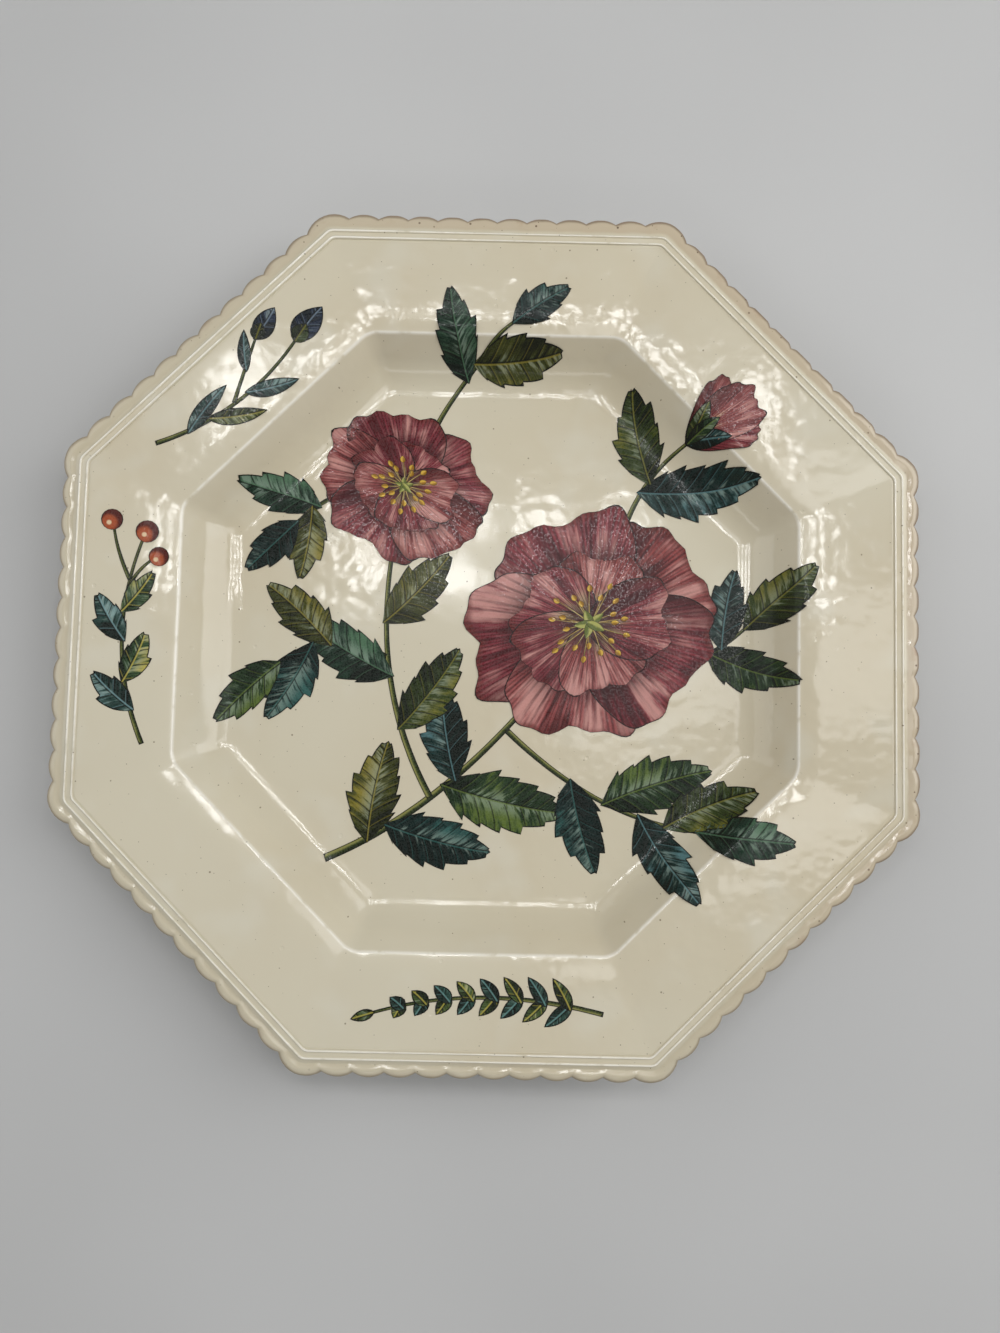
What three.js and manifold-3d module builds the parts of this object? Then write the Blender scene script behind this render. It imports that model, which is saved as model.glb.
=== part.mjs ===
// Octagonal dinner plate of glazed earthenware with a scalloped, reeded rim.
// A pressed clay body stands on an octagonal foot ring. A coat of glaze covers all of it but the foot,
// and four printed sprays of enamel lie on the front.
// Millimetres, +Z up, origin on the table under the middle of the plate.

import * as THREE from "three";
import { mergeVertices } from "three/addons/utils/BufferGeometryUtils.js";
import Module from "manifold-3d";

const wasm = await Module();
wasm.setup();

// The edge: round lobes, equally spaced along the eight sides, with one lobe on each corner.
// An arc is drawn with twice as many straight steps as its steps say.
const SIDES = 8;
const ACROSS_FLATS = 242;
const LOBE_RADIUS = 7;
const LOBE_SPACES = 11;
const LOBE_STEPS = 2;

// The rim, from the lobes inwards: a drooping lip, two raised reeds and a sloping panel.
const RIM_HEIGHT = 22;
const RIM_THICKNESS = 4.2;
const RIM_CORNER = 2.4;
const LIP_WIDTH = 4.2;
const LIP_DROOP = 0.9;
const LIP_THICKNESS = 3.4;
const REED_COUNT = 2;
const REED_WIDTH = 1.65;
const REED_RISE = 0.5;
const REED_STEPS = 4;
const PANEL_WIDTH = 24.8;
const PANEL_SLOPE = THREE.MathUtils.degToRad(8);

// The well: a rounded crease, a steep side and a flat floor.
const CREASE_RADIUS = 4;
const CREASE_CORNER = 7;
const WALL_SLOPE = THREE.MathUtils.degToRad(52);
const WALL_THICKNESS = 4.4;
const WELL_FLOOR = 6.3;
const WELL_RADIUS = 10;
const WELL_CORNER = 5;
const BEND_STEPS = 3;

// The foot ring, set in a little from where the side of the well comes down.
const FOOT_HEIGHT = 2;
const FOOT_INSET = 2.4;
const FOOT_WIDTH = 3.5;
const FOOT_WIPE = 0.6;

// The layers that lie on the clay.
const GLAZE_THICKNESS = 0.25;
const ENAMEL_THICKNESS = 0.2;
const LAYER_CLEARANCE = 0.05;

// The printed sprays are drawn on a grid of this pitch and keep a margin from the reeds.
// A stem tapers from its root to its tip. A leaf starts a little way back inside the stem that bears it,
// and sways towards the stem's tip by a share of its own length.
const PRINT_GRID = 1;
const PRINT_MARGIN = 0.6;
const STEM_TAPER = 0.6;
const LEAF_ROOT = 1.5;
const LEAF_SWAY = 0.14;
const STEM_STEPS = 8;
const OUTLINE_STEPS = 6;

// Sizes that follow from the ones above. Each apothem is half a distance across flats.
const RIM_APOTHEM = ACROSS_FLATS / 2;
const REED_APOTHEM = RIM_APOTHEM - LIP_WIDTH;
const PANEL_APOTHEM = REED_APOTHEM - REED_COUNT * REED_WIDTH;
const CREASE_APOTHEM = PANEL_APOTHEM - PANEL_WIDTH;
const CREASE_HEIGHT = RIM_HEIGHT - PANEL_WIDTH * Math.tan(PANEL_SLOPE);
const SIDE_ANGLE = (2 * Math.PI) / SIDES;

const flat = (x, y) => new THREE.Vector2(x, y);

// A station of the section: apothem and height, and how round the plate's corners are there.
const station = (point, corner) => ({ point, corner });

// Where the line through p along a meets the line through q along b.
function meet(p, a, q, b) {
  const along = flat(q.x - p.x, q.y - p.y).cross(b) / a.cross(b);
  return p.clone().addScaledVector(a, along);
}

// The corner of a section eased into a bend of the given radius.
function bend(before, corner, after, radius) {
  const into = corner.clone().sub(before).normalize();
  const out = after.clone().sub(corner).normalize();
  const reach = radius * Math.tan(into.angleTo(out) / 2);
  const start = corner.clone().addScaledVector(into, -reach);
  const end = corner.clone().addScaledVector(out, reach);
  return new THREE.QuadraticBezierCurve(start, corner, end).getPoints(BEND_STEPS);
}

// The front of the section, from the middle of the well out to the inner reed.
function frontStations() {
  const middle = flat(0, WELL_FLOOR);
  const crease = flat(CREASE_APOTHEM, CREASE_HEIGHT);
  const panel = flat(PANEL_APOTHEM, RIM_HEIGHT);
  const fall = (CREASE_HEIGHT - WELL_FLOOR) / Math.tan(WALL_SLOPE);
  const well = flat(CREASE_APOTHEM - fall, WELL_FLOOR);
  const wellBend = bend(middle, well, crease, WELL_RADIUS);
  const creaseBend = bend(well, crease, panel, CREASE_RADIUS);
  return [
    station(middle, 0),
    ...wellBend.map((point) => station(point, WELL_CORNER)),
    ...creaseBend.map((point) => station(point, CREASE_CORNER)),
    station(panel, RIM_CORNER),
  ];
}

// The reeds and the lip, from the inner reed out past the lobes, which are cut afterwards.
function edgeStations() {
  const points = [];
  for (let reed = 0; reed < REED_COUNT; reed += 1) {
    for (let step = 1; step <= REED_STEPS; step += 1) {
      const share = step / REED_STEPS;
      const rise = REED_RISE * Math.sin(Math.PI * share);
      points.push(flat(PANEL_APOTHEM + (reed + share) * REED_WIDTH, RIM_HEIGHT + rise));
    }
  }
  const past = LOBE_RADIUS;
  const droop = (LIP_DROOP * (LIP_WIDTH + past)) / LIP_WIDTH;
  points.push(flat(RIM_APOTHEM + past, RIM_HEIGHT - droop));
  points.push(flat(RIM_APOTHEM + past, RIM_HEIGHT - droop - LIP_THICKNESS));
  points.push(flat(RIM_APOTHEM - LIP_WIDTH, RIM_HEIGHT - LIP_THICKNESS - LIP_DROOP));
  return points.map((point) => station(point, RIM_CORNER));
}

// The underside of the panel and of the well's side, as two lines a wall's thickness below the front.
function undersideCorner() {
  const panelLine = flat(Math.cos(PANEL_SLOPE), Math.sin(PANEL_SLOPE));
  const wallLine = flat(Math.cos(WALL_SLOPE), Math.sin(WALL_SLOPE));
  const crease = flat(CREASE_APOTHEM, CREASE_HEIGHT);
  const underPanel = crease.clone().addScaledVector(flat(panelLine.y, -panelLine.x), RIM_THICKNESS);
  const underWall = crease.clone().addScaledVector(flat(wallLine.y, -wallLine.x), WALL_THICKNESS);
  return meet(underPanel, panelLine, underWall, wallLine);
}

// The outer apothem of the foot ring.
function footApothem() {
  const corner = undersideCorner();
  return corner.x - (corner.y - FOOT_HEIGHT) / Math.tan(WALL_SLOPE) - FOOT_INSET;
}

// The back of the section, from under the rim in to the middle of the base.
function backStations() {
  const foot = footApothem();
  const inner = foot - FOOT_WIDTH;
  return [
    station(undersideCorner(), CREASE_CORNER),
    station(flat(foot + FOOT_INSET, FOOT_HEIGHT), WELL_CORNER),
    station(flat(foot, FOOT_HEIGHT), WELL_CORNER),
    station(flat(foot, 0), WELL_CORNER),
    station(flat(inner, 0), WELL_CORNER),
    station(flat(inner, FOOT_HEIGHT), WELL_CORNER),
    station(flat(0, FOOT_HEIGHT), 0),
  ];
}

// The section moved out of the clay by a distance, or into it by a negative one.
// The foot keeps standing on the table.
function moved(stations, distance) {
  const normal = (from, to) => flat(from.y - to.y, to.x - from.x).normalize();
  return stations.map(({ point, corner }, index) => {
    const before = index > 0 ? normal(stations[index - 1].point, point) : null;
    const after = index < stations.length - 1 ? normal(point, stations[index + 1].point) : null;
    const first = before ?? after;
    const second = after ?? before;
    const mitre = first.clone().add(second).multiplyScalar(distance / (1 + first.dot(second)));
    const place = point.clone().add(mitre);
    return station(flat(point.x === 0 ? 0 : place.x, point.y === 0 ? 0 : place.y), corner);
  });
}

// An octagon with round corners, as a ring of points at one station.
function ring({ point, corner }) {
  const points = [];
  const reach = (point.x - corner) / Math.cos(SIDE_ANGLE / 2);
  for (let side = 0; side < SIDES; side += 1) {
    const turn = (side + 0.5) * SIDE_ANGLE;
    for (const share of [-0.5, 0, 0.5]) {
      const angle = turn + share * SIDE_ANGLE;
      const x = reach * Math.cos(turn) + corner * Math.cos(angle);
      const y = reach * Math.sin(turn) + corner * Math.sin(angle);
      points.push(new THREE.Vector3(x, y, point.y));
    }
  }
  return points;
}

// A closed octagonal body swept through stations that start and end on the axis.
function octagonal(stations) {
  const rings = stations.slice(1, -1).map(ring);
  const count = rings[0].length;
  const first = new THREE.Vector3(0, 0, stations[0].point.y);
  const last = new THREE.Vector3(0, 0, stations.at(-1).point.y);
  const vertices = [first, ...rings.flat(), last];
  const at = (level, place) => 1 + level * count + (place % count);
  const faces = [];
  for (let place = 0; place < count; place += 1) {
    faces.push(0, at(0, place), at(0, place + 1));
    for (let level = 0; level < rings.length - 1; level += 1) {
      faces.push(at(level, place), at(level + 1, place), at(level + 1, place + 1));
      faces.push(at(level, place), at(level + 1, place + 1), at(level, place + 1));
    }
    faces.push(vertices.length - 1, at(rings.length - 1, place + 1), at(rings.length - 1, place));
  }
  return new THREE.BufferGeometry().setFromPoints(vertices).setIndex(faces);
}

// A solid for cutting and joining, from a closed geometry.
function solid(geometry) {
  const bare = geometry.clone();
  bare.deleteAttribute("normal");
  bare.deleteAttribute("uv");
  const merged = mergeVertices(bare);
  return new wasm.Manifold(new wasm.Mesh({
    numProp: 3,
    vertProperties: new Float32Array(merged.attributes.position.array),
    triVerts: new Uint32Array(merged.index.array),
  }));
}

// An upright prism of an outline, tall enough to cut right through the plate.
function prism(outline, steps) {
  const tall = RIM_HEIGHT * 2;
  const geometry = new THREE.ExtrudeGeometry(outline, { depth: tall, bevelEnabled: false, curveSegments: steps });
  return geometry.translate(0, 0, -tall / 4);
}

// The lobes of the edge, as circles on an octagon, each drawn in by the inset.
function lobes(inset) {
  const circles = [];
  const line = RIM_APOTHEM - LOBE_RADIUS;
  const half = line * Math.tan(SIDE_ANGLE / 2);
  for (let side = 0; side < SIDES; side += 1) {
    for (let place = 0; place < LOBE_SPACES; place += 1) {
      const along = half * ((2 * place) / LOBE_SPACES - 1);
      const centre = flat(line, along).rotateAround(flat(0, 0), side * SIDE_ANGLE);
      circles.push({ centre, radius: LOBE_RADIUS - inset });
    }
  }
  return circles;
}

// The point of the notch between two neighbouring lobes.
function notch(one, other) {
  const middle = one.centre.clone().lerp(other.centre, 0.5);
  const half = one.centre.distanceTo(other.centre) / 2;
  const across = other.centre.clone().sub(one.centre).normalize();
  return middle.addScaledVector(flat(across.y, -across.x), Math.sqrt(one.radius ** 2 - half ** 2));
}

// The outline of the edge, one arc for each lobe.
function edgeOutline(inset) {
  const circles = lobes(inset);
  const outline = new THREE.Shape();
  circles.forEach(({ centre, radius }, index) => {
    const before = circles.at(index - 1);
    const after = circles[(index + 1) % circles.length];
    const start = notch(before, circles[index]).sub(centre).angle();
    const end = notch(circles[index], after).sub(centre).angle();
    outline.absarc(centre.x, centre.y, radius, start, end, false);
  });
  return outline;
}

// The whole plate, drawn in on all sides but under the foot by the inset.
function plate(inset) {
  const section = [...frontStations(), ...edgeStations(), ...backStations()];
  return solid(octagonal(moved(section, -inset))).intersect(solid(prism(edgeOutline(inset), LOBE_STEPS)));
}

// The coat of glaze round the clay. It stops short of the table, so that the foot is bare,
// and the bare foot parts it into the coat and the patch inside the foot ring.
function glaze() {
  const shell = plate(0).subtract(plate(GLAZE_THICKNESS));
  const reach = RIM_APOTHEM * 2;
  const table = new THREE.BoxGeometry(2 * reach, 2 * reach, 2 * FOOT_WIPE);
  const middle = footApothem() - FOOT_WIDTH / 2;
  const height = (FOOT_HEIGHT + WELL_FLOOR) / 2;
  const inside = octagonal([
    station(flat(0, height), 0),
    station(flat(middle, height), WELL_CORNER),
    station(flat(middle, -FOOT_HEIGHT), WELL_CORNER),
    station(flat(0, -FOOT_HEIGHT), 0),
  ]);
  const wiped = shell.subtract(solid(table));
  return { coat: wiped.subtract(solid(inside)), base: wiped.intersect(solid(inside)) };
}

// The thin space over the glaze that a print may fill, from the middle out to the reeds.
function printLayer() {
  const front = frontStations();
  front.at(-1).point.addScaledVector(flat(Math.cos(PANEL_SLOPE), Math.sin(PANEL_SLOPE)), -PRINT_MARGIN);
  const top = moved(front, LAYER_CLEARANCE + ENAMEL_THICKNESS);
  const bottom = moved(front, LAYER_CLEARANCE);
  return solid(octagonal([...top, ...bottom.reverse()]));
}

// A leaf from its root at the origin to its tip along X, or a bud of the same outline.
// Its midrib swings sideways by the sway at the tip.
function leafOutline(length, width, sway) {
  const shoulder = flat(0.25 * length, 0.72 * width);
  const taper = flat(0.7 * length, 0.56 * width);
  const swing = sway / 3;
  const outline = new THREE.Shape();
  outline.moveTo(0, 0);
  outline.bezierCurveTo(shoulder.x, -shoulder.y, taper.x, swing - taper.y, length, sway);
  outline.bezierCurveTo(taper.x, swing + taper.y, shoulder.x, shoulder.y, 0, 0);
  return outline;
}

// A broad petal with a shallow notch at its end.
function petalOutline(length, width) {
  const claw = flat(0.1 * length, 0.6 * width);
  const lobe = flat(1.2 * length, 0.9 * width);
  const dip = 0.95 * length;
  const outline = new THREE.Shape();
  outline.moveTo(0, 0);
  outline.bezierCurveTo(claw.x, -claw.y, lobe.x, -lobe.y, dip, 0);
  outline.bezierCurveTo(lobe.x, lobe.y, claw.x, claw.y, 0, 0);
  return outline;
}

// A stem that tapers along a curve.
function stemOutline(curve, width) {
  const sides = [[], []];
  for (let step = 0; step <= STEM_STEPS; step += 1) {
    const share = step / STEM_STEPS;
    const half = (width / 2) * (1 - (1 - STEM_TAPER) * share);
    const along = curve.getTangent(share);
    const place = curve.getPoint(share);
    sides[0].push(place.clone().addScaledVector(flat(along.y, -along.x), half));
    sides[1].unshift(place.clone().addScaledVector(flat(-along.y, along.x), half));
  }
  return new THREE.Shape(sides.flat());
}

// A place on the grid that the sprays are drawn on.
const onGrid = ([x, y]) => flat(x * PRINT_GRID, y * PRINT_GRID);

// A twig: a curved stem with leaves, each at a share of the stem's length,
// turned from the stem by an angle in degrees, with a length and a width.
function twig({ from, over, to, width, leaves }) {
  const curve = new THREE.QuadraticBezierCurve(onGrid(from), onGrid(over), onGrid(to));
  const pieces = [prism(stemOutline(curve, width * PRINT_GRID), OUTLINE_STEPS)];
  for (const [share, turn, length, breadth] of leaves) {
    const reach = length * PRINT_GRID;
    const sway = -Math.sign(turn) * LEAF_SWAY * reach;
    const heading = curve.getTangent(share).angle() + THREE.MathUtils.degToRad(turn);
    const place = curve.getPoint(share);
    const leaf = prism(leafOutline(reach, breadth * PRINT_GRID, sway), OUTLINE_STEPS);
    pieces.push(leaf.translate(-LEAF_ROOT, 0, 0).rotateZ(heading).translate(place.x, place.y, 0));
  }
  return pieces;
}

// An open flower of broad petals, each as long as it is wide. Seen a little from the side,
// it is drawn together across the way that it leans, which is given in degrees.
function flower({ centre, reach, petals, turn, lean, squash }) {
  const place = onGrid(centre);
  const across = THREE.MathUtils.degToRad(lean);
  const pieces = [];
  for (let petal = 0; petal < petals; petal += 1) {
    const heading = THREE.MathUtils.degToRad(turn + (360 * petal) / petals);
    const shape = prism(petalOutline(reach * PRINT_GRID, reach * PRINT_GRID), OUTLINE_STEPS);
    shape.translate(-LEAF_ROOT, 0, 0).rotateZ(heading).scale(1, squash, 1);
    pieces.push(shape.rotateZ(across).translate(place.x, place.y, 0));
  }
  return pieces;
}

// A round berry.
function berry(x, y, radius) {
  const place = onGrid([x, y]);
  const outline = new THREE.Shape();
  outline.absarc(place.x, place.y, radius * PRINT_GRID, 0, 2 * Math.PI, false);
  return prism(outline, OUTLINE_STEPS);
}

// The film that a print leaves on the glaze.
function film(pieces) {
  const joined = pieces.map(solid).reduce((all, piece) => all.add(piece));
  return joined.intersect(printLayer());
}

// A print on the sloping panel of one side. Its own Y points out from the plate, its zero mid-panel.
function onPanel(pieces, side) {
  const middle = (CREASE_APOTHEM + PANEL_APOTHEM) / 2;
  return pieces.map((piece) => piece.translate(0, middle, 0).rotateZ(side * SIDE_ANGLE - Math.PI / 2));
}

// Two open flowers and a bud on a branch that rises across the well.
function blossomSpray() {
  return film([
    ...twig({
      from: [-46, -64], over: [-8, -48], to: [26, 0], width: 2.4,
      leaves: [[0.16, 58, 30, 15], [0.24, -54, 32, 15], [0.46, -60, 38, 17], [0.5, 66, 28, 14]],
    }),
    ...twig({
      from: [-16, -46], over: [-38, -8], to: [-26, 42], width: 2,
      leaves: [[0.26, -62, 30, 14], [0.44, 58, 32, 15], [0.62, -52, 28, 14]],
    }),
    ...twig({
      from: [6, -26], over: [34, -52], to: [62, -54], width: 1.8,
      leaves: [[0.34, -50, 28, 14], [0.52, 52, 34, 16], [0.7, -46, 28, 13], [0.84, 44, 28, 13], [1, 0, 26, 13]],
    }),
    ...twig({
      from: [-30, -5], over: [-48, 4], to: [-62, -8], width: 1.6,
      leaves: [[0.5, -56, 26, 13], [0.66, 50, 26, 13], [1, -4, 25, 12]],
    }),
    ...twig({
      from: [36, 22], over: [42, 50], to: [58, 60], width: 1.8,
      leaves: [[0.5, -64, 34, 16], [0.6, 56, 28, 14], [1, 44, 12, 5], [1, -44, 12, 5], [1, 0, 22, 15]],
    }),
    ...twig({
      from: [-18, 62], over: [-10, 80], to: [6, 92], width: 1.6,
      leaves: [[0.5, 60, 24, 12], [0.62, -50, 26, 12], [1, 4, 19, 10]],
    }),
    ...twig({
      from: [52, -6], over: [66, -4], to: [76, 6], width: 1.6,
      leaves: [[0.5, -54, 26, 13], [0.66, 56, 24, 12], [1, 0, 25, 13]],
    }),
    ...twig({
      from: [-42, 44], over: [-50, 42], to: [-58, 34], width: 1.6,
      leaves: [[0.6, -58, 24, 12], [0.7, 52, 22, 11], [1, 0, 21, 11]],
    }),
    ...flower({ centre: [30, 6], reach: 39, petals: 5, turn: 18, lean: 24, squash: 0.88 }),
    ...flower({ centre: [-26, 46], reach: 28, petals: 5, turn: 50, lean: -30, squash: 0.8 }),
  ]);
}

// A twig with oval leaves and three berries.
function berrySprig() {
  return film(onPanel([
    ...twig({
      from: [-32, -5], over: [-4, 7], to: [26, -3], width: 1.4,
      leaves: [[0.18, 40, 15, 8], [0.32, -40, 15, 8], [0.52, 38, 15, 8], [0.66, -38, 14, 7]],
    }),
    ...twig({ from: [14, 0.1], over: [22, 4], to: [29, 5], width: 1.2, leaves: [] }),
    berry(28, -4, 3.2),
    berry(31, 5.6, 3),
    berry(21, -7.4, 2.8),
    ...twig({ from: [10.5, 0.7], over: [17, -1], to: [21, -7], width: 1.2, leaves: [] }),
  ], 4));
}

// A frond with pairs of leaflets that shorten towards its tip.
function fernSprig() {
  const pairs = 8;
  const lowest = 0.14;
  const highest = 0.86;
  const longest = 11;
  const shortest = 4.4;
  const width = 4.2;
  const turn = 58;
  const leaves = [[1, 0, 7, 3.2]];
  for (let pair = 0; pair < pairs; pair += 1) {
    const share = THREE.MathUtils.lerp(lowest, highest, pair / (pairs - 1));
    const length = THREE.MathUtils.lerp(longest, shortest, share);
    leaves.push([share, turn, length, width], [share, -turn, length, width]);
  }
  return film(onPanel(twig({ from: [-34, 2], over: [0, -6], to: [30, 3], width: 1.4, leaves }), 6));
}

// Two narrow-leaved shoots that end in buds.
function budSprig() {
  return film(onPanel([
    ...twig({
      from: [-30, 4], over: [-6, -7], to: [20, -1], width: 1.4,
      leaves: [[0.2, 34, 18, 5], [0.34, -30, 17, 5], [0.6, -34, 16, 5], [1, 4, 13, 8]],
    }),
    ...twig({
      from: [-6, -2.4], over: [4, 3], to: [12, 7], width: 1.2,
      leaves: [[0.5, 30, 12, 4], [1, -22, 11, 6.5]],
    }),
  ], 3));
}

// A named piece with its own finish.
function piece(name, body, finish) {
  const { vertProperties, triVerts } = body.getMesh();
  const geometry = new THREE.BufferGeometry();
  geometry.setAttribute("position", new THREE.BufferAttribute(new Float32Array(vertProperties), 3));
  geometry.setIndex(new THREE.BufferAttribute(new Uint32Array(triVerts), 1));
  geometry.computeVertexNormals();
  const mesh = new THREE.Mesh(geometry, new THREE.MeshStandardMaterial({ metalness: 0, ...finish }));
  mesh.name = name;
  return mesh;
}

const { coat, base } = glaze();

const octagonalPlate = new THREE.Group();
octagonalPlate.add(
  piece("biscuit_body", plate(GLAZE_THICKNESS + LAYER_CLEARANCE), { color: 0xcdb894, roughness: 0.85 }),
  piece("glaze_coat", coat, { color: 0xd9d0b6, roughness: 0.12 }),
  piece("base_glaze", base, { color: 0xd9d0b6, roughness: 0.12 }),
  piece("blossom_spray", blossomSpray(), { color: 0xa8666a, roughness: 0.35 }),
  piece("berry_sprig", berrySprig(), { color: 0x5d6a3c, roughness: 0.35 }),
  piece("fern_sprig", fernSprig(), { color: 0x46604a, roughness: 0.35 }),
  piece("bud_sprig", budSprig(), { color: 0x7a7440, roughness: 0.35 }),
);

export default octagonalPlate;
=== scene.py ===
import math

import bpy
import numpy as np
from mathutils import Matrix, Vector


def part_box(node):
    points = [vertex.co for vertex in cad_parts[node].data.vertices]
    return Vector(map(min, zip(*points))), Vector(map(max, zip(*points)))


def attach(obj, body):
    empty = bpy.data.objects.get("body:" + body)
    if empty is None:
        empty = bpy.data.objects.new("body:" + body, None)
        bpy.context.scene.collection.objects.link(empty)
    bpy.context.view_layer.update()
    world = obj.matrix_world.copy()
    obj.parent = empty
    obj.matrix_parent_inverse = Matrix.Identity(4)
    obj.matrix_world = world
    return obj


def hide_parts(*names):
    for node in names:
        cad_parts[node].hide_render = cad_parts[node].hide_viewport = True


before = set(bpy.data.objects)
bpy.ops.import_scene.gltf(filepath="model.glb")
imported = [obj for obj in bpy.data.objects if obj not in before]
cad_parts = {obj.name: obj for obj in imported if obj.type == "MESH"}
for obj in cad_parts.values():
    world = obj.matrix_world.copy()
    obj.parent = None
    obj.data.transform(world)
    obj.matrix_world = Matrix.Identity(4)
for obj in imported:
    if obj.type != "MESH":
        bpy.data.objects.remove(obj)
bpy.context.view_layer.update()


# The plate: earthenware pressed over a mould to eight sides, with a scalloped lip, two fine reeds,
# a sloping panel and a sunk well, standing on a foot ring. It is dipped in ivory glaze all over,
# and the foot is wiped bare where it stands in the kiln. Its section is drawn in millimetres.
MM = 0.001
SIDES = 8
SIDE_TURN = 2 * math.pi / SIDES
HALF_SIDE = math.tan(SIDE_TURN / 2)
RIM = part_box("glaze_coat")[1].x / MM
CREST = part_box("glaze_coat")[1].z / MM

LOBE_RADIUS = 8.0
LOBE_SPACES = 11
LOBE_COLUMNS = 10
LOBE_LINE = RIM - LOBE_RADIUS
LOBE_HALF = LOBE_LINE * HALF_SIDE / LOBE_SPACES
NOTCH_TURN = math.asin(LOBE_HALF / LOBE_RADIUS)
NOTCH_DIP = 0.4
EDGE_WEAR = {1: 0.5, 2: 0.1, 0: 0.15}

LIP_WIDTH = 4.25
LIP_FOOT = CREST - 4.8
LIP_ROOT = RIM - LIP_WIDTH
LOBE_DOME = RIM - 1.9
REED_RISE = 0.45
REED_HALF = 0.42
REED_PITCH = 2.0
REED_STEPS = 6
REED_BASE = CREST - 0.55
REED_INSET = 0.75
REED_CRESTS = (LIP_ROOT - REED_INSET - REED_PITCH, LIP_ROOT - REED_INSET)
LIP_BASE = REED_BASE - 0.2
LIP_GROOVE = LIP_ROOT + 0.75
LIP_PRESSING = 0.6
LIP_PRESSED_ASKEW = 0.4

PANEL_MARGIN = 0.9
PANEL_OUT = REED_CRESTS[0] - PANEL_MARGIN
PANEL_SLOPE = math.tan(math.radians(8))
SHOULDER = 92.0
SHOULDER_SLOPE = math.tan(math.radians(16))
WALL_SLOPE = math.tan(math.radians(52))
WALL_FOOT = 79.16
WELL_FLOOR = 6.3
UNDER_RIM = (104, 16.35)
UNDER_CREASE = (91.4, 14.55)
FOOT_OUT = 79.0
FOOT_IN = 75.5
FOOT_LEDGE = 81.4
BASE = 2.0
CORNERS_AT = (0, 20, 79, 88, PANEL_OUT)
CORNER_RADII = (0, 5, 5, 7, 2.4)
WELL_RINGS = (0, 14, 30, 46, 60, 69)
PANEL_RINGS = (98, 103, 108)
BASE_RINGS = (60, 40, 20, 0)


def panel_height(apothem):
    """How high the sloping panel lies at an apothem."""
    return REED_BASE - (PANEL_OUT - apothem) * PANEL_SLOPE


def bent(corners):
    """A section through corners, each an apothem, a height, a bend radius and the steps in the bend."""
    points = []
    for index, (apothem, height, radius, steps) in enumerate(corners):
        corner = Vector((apothem, height))
        if not radius:
            points.append(corner)
            continue
        into = (corner - Vector(corners[index - 1][:2])).normalized()
        out = (Vector(corners[index + 1][:2]) - corner).normalized()
        turn = math.atan2(into.x * out.y - into.y * out.x, into.dot(out))
        start = corner - into * radius * math.tan(abs(turn) / 2)
        side = math.copysign(1, turn)
        centre = start + Vector((-into.y, into.x)) * radius * side
        for step in range(steps + 1):
            points.append(centre + Matrix.Rotation(turn * step / steps, 2) @ (start - centre))
    return points


def reed(crest):
    """The half round of one reed."""
    points = []
    for step in range(REED_STEPS + 1):
        angle = math.pi * step / REED_STEPS
        height = REED_BASE + REED_RISE * math.sin(angle)
        points.append(Vector((crest - REED_HALF * math.cos(angle), height)))
    return points


shoulder_height = panel_height(SHOULDER)
wall_run = shoulder_height - WELL_FLOOR - (SHOULDER - WALL_FOOT) * SHOULDER_SLOPE
wall_run = wall_run / (WALL_SLOPE - SHOULDER_SLOPE)
ARRIS = WALL_FOOT + wall_run
# A point this far short of a turn keeps the face before it flat.
HOLD = 0.6
front = bent([
    *[(ring, WELL_FLOOR, 0, 0) for ring in WELL_RINGS],
    (WALL_FOOT, WELL_FLOOR, 14, 11),
    (ARRIS - HOLD, WELL_FLOOR + (wall_run - HOLD) * WALL_SLOPE, 0, 0),
    (ARRIS, WELL_FLOOR + wall_run * WALL_SLOPE, 0.9, 4),
    (SHOULDER, shoulder_height, 48, 8),
    *[(ring, panel_height(ring), 0, 0) for ring in PANEL_RINGS],
    (PANEL_OUT - HOLD, panel_height(PANEL_OUT - HOLD), 0, 0),
    (PANEL_OUT, REED_BASE, 0.3, 2),
    (PANEL_OUT + 0.45, REED_BASE - 0.1, 0, 0),
])
edge = bent([
    (LIP_ROOT, LIP_BASE, 0, 0),
    (LIP_GROOVE, REED_BASE - 0.55, 0.7, 3),
    (LOBE_DOME, REED_BASE + 0.1, 1.6, 6),
    (RIM, REED_BASE - 0.4, 0.9, 6),
    (RIM, LIP_FOOT, 1.1, 4),
    (LIP_ROOT, LIP_FOOT, 2.5, 3),
    (*UNDER_RIM, 0, 0),
    (*UNDER_CREASE, 6, 5),
    (FOOT_LEDGE, BASE, 2, 4),
    (FOOT_OUT, BASE, 0.5, 2),
    (FOOT_OUT, 0, 0.8, 3),
    (FOOT_IN, 0, 0.8, 3),
    (FOOT_IN, BASE, 1.2, 4),
    *[(ring, BASE, 0, 0) for ring in BASE_RINGS],
])
section = front + reed(REED_CRESTS[0]) + reed(REED_CRESTS[1]) + edge

bpy.ops.object.select_all(action="DESELECT")
bpy.ops.mesh.primitive_plane_add(size=MM)
plate = bpy.context.object
plate.name = plate.data.name = "glazed_plate"
bpy.ops.object.mode_set(mode="EDIT")
bpy.ops.mesh.merge(type="CENTER")
bpy.ops.transform.translate(value=(0, 0, section[0].y * MM))
for last, point in zip(section, section[1:]):
    step = Vector((point.x - last.x, 0, point.y - last.y)) * MM
    bpy.ops.mesh.extrude_region_move(TRANSFORM_OT_translate={"value": step})
side_columns = LOBE_SPACES * LOBE_COLUMNS
bpy.ops.mesh.select_all(action="SELECT")
bpy.ops.mesh.spin(steps=side_columns, angle=SIDE_TURN, center=(0, 0, 0), axis=(0, 0, 1))
bpy.ops.mesh.select_all(action="SELECT")
others = SIDES - 1
bpy.ops.mesh.spin(steps=others, dupli=True, angle=others * SIDE_TURN, center=(0, 0, 0), axis=(0, 0, 1))
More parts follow.
